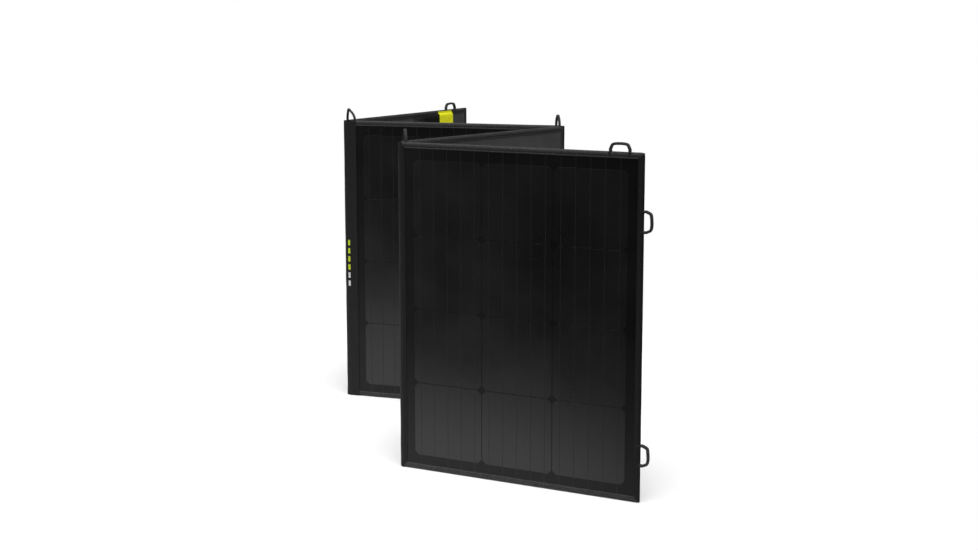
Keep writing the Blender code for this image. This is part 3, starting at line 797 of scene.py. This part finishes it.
def back_cloth(number):
    """The back's cloth, held all round in the tape, slack enough to undulate a little."""
    body = f"panel_{number}"
    low, right, top = CLOTH_INSET, WIDTH - CLOTH_INSET, HEIGHT - CLOTH_INSET

    def depth(x, z):
        slack = 0.5 + 0.5 * ripple(number + 20, x, z, 11.0) + 0.25 * ripple(number, x, z, 40.0)
        return CLOTH_BACK + SLACK * max(0.0, slack) * fade(x, z)

    shape = surface(steps(low, right, 44), steps(low, top, 56), depth, CLOTH_FRONT - CLOTH_BACK)
    piece = new_piece(f"{body}_back_cloth", shape, "back", [f"{body}_back_cover"])
    seat(piece, body)
    return piece


# ---- Webbing loops ----


def strap(path, sideways, width, thickness):
    """A flat strap with round edges, its width along one fixed direction: its shape, UV map, and a painted
    highlight on its flat faces.
    """
    section = []
    for turn in range(12):
        angle = 2 * math.pi * turn / 12
        across = squared(math.cos(angle), 0.55) * width / 2
        section.append((across, squared(math.sin(angle), 0.7) * thickness / 2))
    rings, mapped, highlight_and_pale_tone = [], [], []
    for spot, ahead, run in zip(path, headings(path), runs_along(path)):
        rise = ahead.cross(sideways).normalized()
        rings.append([spot + sideways * across + rise * up for across, up in section])
        mapped += [(across + up, run) for across, up in section]
        # Painted highlight: 1 on the strap's flat faces, 0 on its rounded edges.
        highlight_and_pale_tone += [1.0 if abs(up) > thickness * 0.42 else 0.0 for _, up in section]
    return sweep(rings), mapped, highlight_and_pale_tone


def arch(width, height, top):
    """The line of a loop's strap in its own plane: (across, up), from one foot to the other."""
    half, half_top = width / 2, top / 2
    right = [(half, -0.002), (half + 0.0003, 0.004), (half - 0.0008, 0.45 * height)]
    right += [(half_top + 0.22 * (half - half_top), 0.88 * height), (half_top * 0.55, height)]
    left = [(-across, up) for across, up in right]
    return left + [(0.0, height + 0.0003)] + right[::-1]


STRAP_WIDTH = 0.0078
STRAP_THICKNESS = 0.0058
LOOP_SPAN, LOOP_HEIGHT, LOOP_TOP = 0.0405, 0.0155, 0.029  # of the strap's middle line
LOOP_LINE = arch(LOOP_SPAN, LOOP_HEIGHT, LOOP_TOP)


def edge_loop(node, body, spot, along, outward):
    """A loop that stands off a panel's edge; spot is in the panel's coordinates, on the edge."""
    path = smooth_line([spot + along * across + outward * up for across, up in LOOP_LINE], 5)
    sway = [0.0006 * math.sin(9 * (p - spot).dot(along) / 0.042) for p in path]
    path = [p + Vector((0, shift, 0)) for p, shift in zip(path, sway)]
    shape, mapped, highlight_and_pale_tone = strap(path, Y, STRAP_WIDTH, STRAP_THICKNESS)
    return seat(new_piece(f"{node}_webbing", shape, "webbing", [node], 70, mapped, highlight_and_pale_tone), body)


def half_arch_points(foot, apex, height, top):
    """From a foot on the panels' top edges up to the middle of a loop that bridges a fold."""
    run = apex - foot
    level = Vector((0, 0, height))
    flat = max(0.0, 1 - top / 2 / run.length)
    return [foot - Vector((0, 0, 0.002)), foot + level * 0.25, foot + run * 0.35 * flat + level * 0.62,
            foot + run * flat + level * 0.96, apex + level]


def bridging_loop(node, bodies, foot_1, foot_2, height, top, lean=0.5):
    """A loop pinched up over a fold. Over the spine it is two halves, each across one of its folds."""
    up = Vector((0, 0, HEIGHT))
    apex = foot_1.lerp(foot_2, lean) + up
    foot_1, foot_2 = foot_1 + up, foot_2 + up
    sideways = (foot_2 - foot_1).cross(Z).normalized()
    first = half_arch_points(foot_1, apex, height, top)
    second = half_arch_points(foot_2, apex, height, top)
    line = smooth_line(first + second[-2::-1], 5)
    middle = len(line) // 2
    name = f"{node}_webbing"
    pieces = [(name, line, bodies)]
    if len(bodies) == 3:
        pieces = [(f"{name}_front", line[: middle + 1], bodies[:2])]
        pieces.append((f"{name}_rear", line[middle:], bodies[1:]))
    for part, path, joined in pieces:
        shape, mapped, highlight_and_pale_tone = strap(path, sideways, STRAP_WIDTH * 0.8, STRAP_THICKNESS * 0.75)
        piece = new_piece(part, shape, "webbing", [node], 70, mapped, highlight_and_pale_tone)
        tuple(path[0])
        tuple(path[-1])
        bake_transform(piece)


# ---- Cloth across the folds ----


PIPING_OUTSIDE, PIPING_INSIDE = 0.0021, 0.0015  # its radii
FOLD_WALL = 0.0004
FOLD_SHORT = 0.0008  # how far the cloth stops short of the panels' top and bottom


def in_plan(body, x, y):
    """A point of a body's coordinates in the model's frame, at floor level."""
    spot = PLACES[body] @ Vector((x, y, 0))
    return Vector((spot.x, spot.y, 0))


def plan_line(start, bend_start, bend_end, end, outward, bulge):
    """The section of cloth that laps one piece, crosses a fold in a soft bow, and laps the next."""
    control = (bend_start + bend_end) / 2 + outward * bulge
    bow = []
    for step in range(9):
        t = step / 8
        bow.append(bend_start * (1 - t) ** 2 + control * 2 * t * (1 - t) + bend_end * t * t)
    line = [start, start.lerp(bend_start, 0.55)] + bow + [end.lerp(bend_end, 0.55), end]
    return smooth_line(line, 2)


def fold_cloth(name, line, seed):
    """A strip of cloth the full height of the panels, whose section is a line in plan."""
    low, high = FOLD_SHORT, HEIGHT - FOLD_SHORT
    levels, runs = steps(low, high, 60), runs_along(line)
    normals = [ahead.cross(Z).normalized() for ahead in headings(line)]
    middle = runs[-1] / 2
    rings = []
    for level in levels:
        outer, inner = [], []
        for spot, normal, run in zip(line, normals, runs):
            free = max(0.0, 1 - abs(run - middle) / middle)
            lift = 0.0005 * free * noise.noise(Vector((run * 120, level * 28, seed)))
            place = spot + normal * lift + Z * level
            outer.append(place + normal * FOLD_WALL)
            inner.append(place)
        rings.append(outer + inner[::-1])
    mapped = [(run, level) for level in levels for run in runs + runs[::-1]]
    piece = new_piece(name, sweep(rings), "fold", smooth=60, mapped=mapped)
    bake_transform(piece)
    return piece


def piping(name, node, body, axis):
    """The sewn sleeve round a fold's axis: a soft tube, slightly gathered, round the lead inside it."""

    def outline(cosine, sine, level):
        gathered = 1 + 0.05 * noise.noise(Vector((axis.x * 40, axis.y * 40, level * 160)))
        direction, centre = Vector((cosine, sine, 0)), Vector((axis.x, axis.y, level))
        return centre + direction * PIPING_OUTSIDE * gathered, centre + direction * PIPING_INSIDE

    shape = hollow_tube(steps(0.006, HEIGHT - 0.006, 90), 14, outline)
    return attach(new_piece(name, shape, "fold", [node], 60), body)


# ---- Panel 4's cable pocket ----


POUCH_LEFT, POUCH_RIGHT = 0.078, 0.2545
POUCH_LOW, POUCH_TOP = 0.507, 0.697
POUCH_BACK = THICK - 0.0008
POUCH_DEPTH = 0.0111  # over the junction box
POUCH_MOUTH = 0.004  # where the tab holds it flat
POUCH_DEEP_TOP = 0.582
POUCH_FLAT_FROM = 0.606
POUCH_PALING_REACH = 0.045  # how far in from the side away from the tab the cloth is painted paler


def shoulder(distance, reach):
    """0 at a sewn edge, rising steeply and then rounding off to 1 at this distance from it."""
    share = max(0.0, min(1.0, distance / reach))
    return (1 - (1 - share) ** 4) ** 0.25


def pouch_fullness(x, z):
    """How far the pouch stands off the panel's back at a point, with its slack folds."""
    sides = shoulder(x - POUCH_LEFT, 0.005) * shoulder(POUCH_RIGHT - x, 0.03)
    full = sides * shoulder(z - POUCH_LOW, 0.006)
    share = max(0.0, min(1.0, (z - POUCH_DEEP_TOP) / (POUCH_FLAT_FROM - POUCH_DEEP_TOP)))
    share = share * share * (3 - 2 * share)
    fold = 0.5 * ripple(31, x, z * 0.5, 30.0) - 0.25 * share * abs(ripple(33, x, z, 16.0))
    return (POUCH_DEPTH * (1 - share) + POUCH_MOUTH * share + 0.0008 * fold) * full


def mouth_droop(x):
    """How far the mouth's edge hangs below its ends."""
    return 0.001 * math.sin(math.pi * (x - POUCH_LEFT) / (POUCH_RIGHT - POUCH_LEFT)) ** 2


def pouch_paling(points):
    """How much paler the pocket's cloth is painted at each point, most at the side away from the tab."""
    return [max(0.0, 1 - (POUCH_RIGHT - point.x) / POUCH_PALING_REACH) for point in points]


def pouch():
    """The pocket's cloth: full over the junction box, drawn in at its sides and flat at its mouth."""
    wide, tall = POUCH_RIGHT - POUCH_LEFT, POUCH_TOP - POUCH_LOW
    across = (0, 0.008, 0.02, 0.05, *[0.1 + 0.8 * n / 24 for n in range(25)], 0.93, 0.96, 0.985, 1)
    up = (0, 0.006, 0.016, 0.03, 0.06, *[0.1 + 0.9 * n / 26 for n in range(27)])
    xs = [POUCH_LEFT + wide * share for share in across]
    zs = [POUCH_LOW + tall * share for share in up]
    points = []
    for z in zs:
        high = (z - POUCH_LOW) / tall
        for x in xs:
            y = POUCH_BACK + 0.0003 + pouch_fullness(x, z)
            points.append(Vector((x, y, z - high * mouth_droop(x))))
    points, faces = closed_sheet(points, grid(xs, zs), Vector((0, -0.0009, 0)))
    for point in points:
        point.y = max(point.y, POUCH_BACK)
    gradient = pouch_paling(points)
    piece = new_piece("cable_pouch", (points, faces), "pouch", ["pocket"], 60, highlight_and_pale_tone=gradient)
    seat(piece, "panel_4")
    hem = pouch_hem(xs)
    return piece


def pouch_hem(xs):
    """The rolled hem along the pocket's mouth."""
    line = []
    for x in xs[2:-2]:
        y = POUCH_BACK - 0.00015 + pouch_fullness(x, POUCH_TOP)
        line.append(Vector((x, y, POUCH_TOP - mouth_droop(x) - 0.004)))
    shape, mapped, _ = strap(line, Z, 0.009, 0.0014)
    gradient = pouch_paling(shape[0])
    piece = new_piece("cable_pouch_hem", shape, "pouch", (), 70, mapped, gradient)
    return seat(piece, "panel_4")


TAB_LEFT, TAB_WIDTH = 0.080, 0.063
TAB_THICK = 0.0009
TAB_STITCH = {"pitch": 0.004, "length": 0.0028}
PATCH_MIDDLE = 0.1105  # x of the hook and loop patches' middle
# The middle of the tab's thickness, from its seam to its end: (y, z) in mm
TAB_LINE = (
    (7.75, 708.0), (7.8, 704.5), (8.9, 702.0), (11.2, 699.8), (12.5, 696.4), (12.75, 691.0), (12.75, 660.0),
    (12.75, 635.0), (12.75, 616.0),
)


def closure_tab():
    """The lime tab: a wide webbing strap from its seam, out over the pocket's mouth and down its face."""
    line = smooth_line([Vector((0, y * MM, z * MM)) for y, z in TAB_LINE], 5)
    xs, runs = steps(TAB_LEFT, TAB_LEFT + TAB_WIDTH, 16), runs_along(line)
    total = runs[-1]
    points, mapped, offsets = [], [], []
    for spot, ahead, run in zip(line, headings(line), runs):
        offsets += [ahead.cross(X).normalized() * -TAB_THICK] * len(xs)
        for x in xs:
            edge = min(x - TAB_LEFT, TAB_LEFT + TAB_WIDTH - x)
            corner = 0.004 * max(0.0, 1 - edge / 0.004) ** 2 * (run / total) ** 8
            bow = 0.0005 * math.sin(math.pi * (x - TAB_LEFT) / TAB_WIDTH) * (1 - run / total)
            points.append(Vector((x, spot.y + bow - TAB_THICK / 2, spot.z + corner)))
            mapped.append((x, run))
    shape = closed_sheet(points, grid(xs, line), offsets)
    piece = new_piece("lime_closure_tab", shape, "lime", ["closure_tab"], mapped=mapped * 2)
    seat(piece, "closure_tab")
    tab_seams()
    return piece


def tab_seams():
    """Rows of lime thread: across the tab's root, down both of its edges, and two across its end."""
    face = TAB_LINE[-1][0] * MM + TAB_THICK / 2
    left, right = TAB_LEFT + 0.003, TAB_LEFT + TAB_WIDTH - 0.003
    top, low, root, root_face = 0.690, 0.619, 0.7062, 0.0084
    rows = [((left, root_face, root), (right, root_face, root))]
    rows += [((x, face, top), (x, face, low)) for x in (left, right)]
    rows += [((left, face, z), (right, face, z)) for z in (low, low + 0.032)]
    parts = []
    for start, end in rows:
        parts += seam(start, end, Y, **TAB_STITCH)
    piece = new_piece("closure_tab_seams", gather(parts), "lime_thread")
    return seat(piece, "closure_tab")


def tape_patch(name, node, body, front, look, seed):
    """A patch of hook or loop tape: eased corners, and a pile that isn't quite even."""
    low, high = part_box(node)
    half_x, half_z, rounding = 0.025, 0.014, 0.004
    xs, zs = steps(-half_x, half_x, 28), steps(-half_z, half_z, 18)
    points = []
    for z in zs:
        for x in xs:
            pile = 0.00012 * noise.noise(Vector((x * 900, z * 900, seed)))
            past_x = max(0.0, (abs(x) - (half_x - rounding)) / rounding)
            past_z = max(0.0, (abs(z) - (half_z - rounding)) / rounding)
            pull = 1 - 0.05 * min(1.0, past_x * past_z)
            points.append(Vector((PATCH_MIDDLE + x * pull, front + pile, (low.z + high.z) / 2 + z * pull)))
    shape = closed_sheet(points, grid(xs, zs), Vector((0, 0.0006, 0)))
    return seat(new_piece(name, shape, look, [node], 70), body)


# ---- The spine's printed mark: plain level bars ----


BARS_LOW = 0.287
BAR_PITCH = 0.021
BAR_MIDDLE = (-0.0058, 0.0075)  # x in the spine's coordinates, and z above the bar's own low mark
BAR_STRAIGHT = (0.0018, 0.0060)  # half of a bar's straight sides
BAR_ROUND = 0.001
BAR_GROUPS = (("white_print", "spine_white_bars", (0, 1)), ("lime_print", "spine_lime_bars", (2, 3, 4, 5)))


def level_bars():
    """Six rounded bars printed up the spine, two white and four lime."""
    front = -(THICK + OFFSET) - 0.00095
    for look, name, numbers in BAR_GROUPS:
        parts = []
        for number in numbers:
            low = BARS_LOW + number * BAR_PITCH
            corners = []
            for cx, cz, start in ((1, 1, 0), (-1, 1, 90), (-1, -1, 180), (1, -1, 270)):
                for turn in range(4):
                    angle = math.radians(start + turn * 30)
                    x = BAR_MIDDLE[0] + cx * BAR_STRAIGHT[0] + BAR_ROUND * math.cos(angle)
                    z = low + BAR_MIDDLE[1] + cz * BAR_STRAIGHT[1] + BAR_ROUND * math.sin(angle)
                    corners.append(Vector((x, front, z)))
            parts.append(sweep([corners, [corner + Vector((0, 0.0004, 0)) for corner in corners]]))
        seat(new_piece(name, gather(parts), look, smooth=40), "spine")


LAP = 0.0065  # how far a fold's cloth laps onto each panel
BEND_INSET = 0.0006  # from a panel's edge to where the cloth leaves it
SIDE_LOOPS = (("upper", 0.574), ("lower", 0.099))
TACK_REACH = 0.021  # from a loop's middle to the tacks at its feet


def add_panels():
    tacks = {1: [], 2: [], 3: [], 4: []}
    for number, top_x, edge_x, side in ((1, WIDTH - 0.052, WIDTH, 1), (4, 0.079, 0.0, -1)):
        body = f"panel_{number}"
        edge_loop(f"{body}_top_loop", body, Vector((top_x, MID, HEIGHT)), X, Z)
        tacks[number] += [(top_x + reach, HEIGHT, -X) for reach in (-TACK_REACH, TACK_REACH)]
        for word, height in SIDE_LOOPS:
            edge_loop(f"{body}_{word}_side_loop", body, Vector((edge_x, MID, height)), Z * -side, X * side)
            tacks[number] += [(edge_x, height + reach, Z * side) for reach in (-TACK_REACH, TACK_REACH)]
    for number in (1, 2, 3, 4):
        face_film(number)
        wafers(number)
        busbars(number)
        edge_tape(number)
        seams(number, tacks[number])
        back_cloth(number)


def add_fold_cloths(axes):
    """Cloth over the outside of each fold. Each end is (body, x where its lap starts, x of its bend, y)."""
    near, far = (LAP, BEND_INSET), (WIDTH - LAP, WIDTH - BEND_INSET)
    front = -(THICK + OFFSET) - 0.0003
    on_spine, inset = ("spine", -SPINE / 2), SETBACK + 0.001
    for name, first, second, joint, bulge, seed in (
        ("fold_a_cloth", ("panel_2", *far, 0.0), ("panel_1", *near, 0.0), "fold_a", 0.003, 1.0),
        ("fold_c_cloth", ("panel_2", *near, THICK), ("panel_3", *far, THICK), "fold_c", 0.003, 2.0),
        ("spine_front_cloth", ("panel_3", LIP + 0.0012, 0.001, 0.0), (*on_spine, -inset, front),
         "spine_front_fold", 0.0, 3.0),
        ("spine_rear_cloth", (*on_spine, -SPINE + inset, front), ("panel_4", *far, 0.0),
         "spine_rear_fold", 0.006, 4.0),
    ):
        laps = [in_plan(body, lap, y) for body, lap, _, y in (first, second)]
        bends = [in_plan(body, bend, y) for body, _, bend, y in (first, second)]
        outward = ((bends[0] + bends[1]) / 2 - axes[joint]).normalized()
        line = plan_line(laps[0], bends[0], bends[1], laps[1], outward, bulge)
        if (line[-1] - line[0]).cross(Z).dot(outward) < 0:
            line = line[::-1]
        fold_cloth(name, line, seed)


def add_folds():
    """The sleeves on the folds' axes, the cloth over the folds, the spine, and the loops that bridge them."""
    joints = {"fold_a": "panel_2", "fold_c": "panel_2"}
    joints |= {"spine_front_fold": "spine", "spine_rear_fold": "spine"}
    axes = {joint: axis_spot(joint) for joint in joints}
    for joint, body in joints.items():
        stem = joint.removesuffix("_fold")
        piping(f"{stem}_piping", f"{stem}_sleeve", body, axes[joint])
    add_fold_cloths(axes)
    spine_tube()
    level_bars()

    def foot(body, edge, reach):
        """Where a loop meets a panel's top, this far from the axis at its near or far edge."""
        return in_plan(body, reach - SETBACK if edge == "near" else WIDTH + SETBACK - reach, MID)

    for node, bodies, edges, reach, sizes in (
        ("fold_a_loop", ("panel_2", "panel_1"), ("far", "near"), 0.017, (0.0245, 0.007)),
        ("fold_c_loop", ("panel_2", "panel_3"), ("near", "far"), 0.017, (0.0245, 0.007)),
        ("fold_d_loop", ("panel_3", "spine", "panel_4"), ("near", "far"), 0.0115, (0.027, 0.004, 0.8)),
    ):
        foot_1, foot_2 = foot(bodies[0], edges[0], reach), foot(bodies[-1], edges[1], reach)
        bridging_loop(node, bodies, foot_1, foot_2, *sizes)


def spine_tube():
    """The spine's own cloth round its batten: a soft upright tube, open at its ends."""
    low, high = -SPINE + SETBACK, -SETBACK
    front, back = -(THICK + OFFSET), -OFFSET
    centre = Vector(((low + high) / 2, (front + back) / 2))
    half_x, half_y = (high - low) / 2, (back - front) / 2
    wall = 0.0008

    def outline(cosine, sine, level):
        x, y = squared(cosine, 0.35), squared(sine, 0.35)
        loose = 0.0002 * noise.noise(Vector((x * 3, y * 3, level * 40)))
        outside = Vector((centre.x + x * (half_x + loose), centre.y + y * (half_y + loose), level))
        return outside, Vector((centre.x + x * (half_x - wall), centre.y + y * (half_y - wall), level))

    shape = hollow_tube(steps(0.0, HEIGHT, 70), 24, outline)
    return seat(new_piece("spine_tube", shape, "fold", ["spine_cover"], 60), "spine")


def add_pocket():
    pouch()
    closure_tab()
    front = POUCH_BACK + POUCH_MOUTH + 0.0003
    tape_patch("pouch_loop_tape", "pocket_loop_patch", "panel_4", front, "loop", 5.0)
    tape_patch("tab_hook_tape", "tab_hook_patch", "closure_tab", front + 0.0009, "hook", 6.0)


def dress_cad():
    """The CAD nodes that stay: inner boards, leads and the junction box."""
    looks = {"junction_box_base": "plastic", "junction_box_lid": "plastic", "cable_gland": "plastic"}
    looks |= {"bypass_diode_board": "board", "spine_batten": "batten"}
    looks |= {f"{name}_lead": "jacket" for name in ("fold_a", "fold_c", "spine_front", "spine_rear")}
    for number in (1, 2, 3, 4):
        looks[f"panel_{number}_backsheet"] = "backsheet"
        looks[f"panel_{number}_stiffener"] = "stiffener"
    for node, look in looks.items():
        mesh = frame["nodes"][node].data
        mesh.materials.clear()
        mesh.materials.append(LOOKS[look])


# ---- Floor, light and camera ----


def add_floor():
    """A wide pale floor that fades out softly into the studio's white."""
    bpy.ops.mesh.primitive_circle_add(vertices=96, radius=1.5, fill_type="NGON", location=(-0.3, 0.1, 0))
    floor = bpy.context.object
    floor.name = "studio_floor"
    made = bpy.data.materials.new("studio_floor")
    made.use_nodes = True
    nodes, links = made.node_tree.nodes, made.node_tree.links
    shader = nodes["Principled BSDF"]
    shader.inputs["Base Color"].default_value = (0.92, 0.92, 0.92, 1)
    shader.inputs["Roughness"].default_value = 0.9
    shader.inputs["Specular IOR Level"].default_value = 0.1
    spot = nodes.new("ShaderNodeTexCoord")
    reach = nodes.new("ShaderNodeVectorMath")
    reach.operation = "LENGTH"
    gradient = nodes.new("ShaderNodeMapRange")
    gradient.interpolation_type = "SMOOTHSTEP"
    for socket, value in zip(gradient.inputs[1:5], (0.7, 1.4, 1.0, 0.0)):
        socket.default_value = value
    links.new(spot.outputs["Object"], reach.inputs[0])
    links.new(reach.outputs["Value"], gradient.inputs[0])
    links.new(gradient.outputs[0], shader.inputs["Alpha"])
    floor.data.materials.append(made)


def add_area(name, spot, target, size, power):
    light = bpy.data.lights.new(name, "AREA")
    light.shape = "RECTANGLE"
    light.size, light.size_y = size
    light.energy = power
    holder = link(name, light)
    holder.location = spot
    holder.rotation_euler = (Vector(target) - Vector(spot)).to_track_quat("-Z", "Y").to_euler()


def add_light():
    world = bpy.data.worlds.new("studio")
    bpy.context.scene.world = world
    world.use_nodes = True
    back = world.node_tree.nodes["Background"]
    seen = world.node_tree.nodes.new("ShaderNodeLightPath")
    blend = world.node_tree.nodes.new("ShaderNodeMix")
    blend.data_type = "RGBA"
    world.node_tree.links.new(seen.outputs["Is Camera Ray"], blend.inputs[0])
    blend.inputs[6].default_value = (0.03, 0.03, 0.031, 1)
    blend.inputs[7].default_value = (1, 1, 1, 1)
    world.node_tree.links.new(blend.outputs[2], back.inputs["Color"])
    sun = bpy.data.lights.new("overhead", "SUN")
    sun.energy = 3.9
    sun.angle = math.radians(50)
    holder = link("overhead", sun)
    holder.rotation_euler = (math.radians(14), 0, math.radians(-20))
    add_area("left", (-2.9, -1.0, 0.45), (0, -0.3, 0.3), (1.2, 1.0), 10)
    add_area("right_front", (2.4, -2.2, 1.6), (0, 0, 0.6), (1.6, 1.6), 14)


def add_camera():
    data = bpy.data.cameras.new("camera")
    data.lens = 52.43
    data.sensor_width = 36.0
    data.shift_y = -0.06
    camera = link("camera", data)
    camera.location = (0.0261, -3.4125, 0.9881)
    camera.rotation_euler = (math.radians(90 - 8.28), 0, math.radians(0.105))
    bpy.context.scene.camera = camera


add_camera()
add_floor()
add_light()
dress_cad()
add_panels()
add_folds()
add_pocket()
bpy.context.scene.view_settings.view_transform = "Standard"
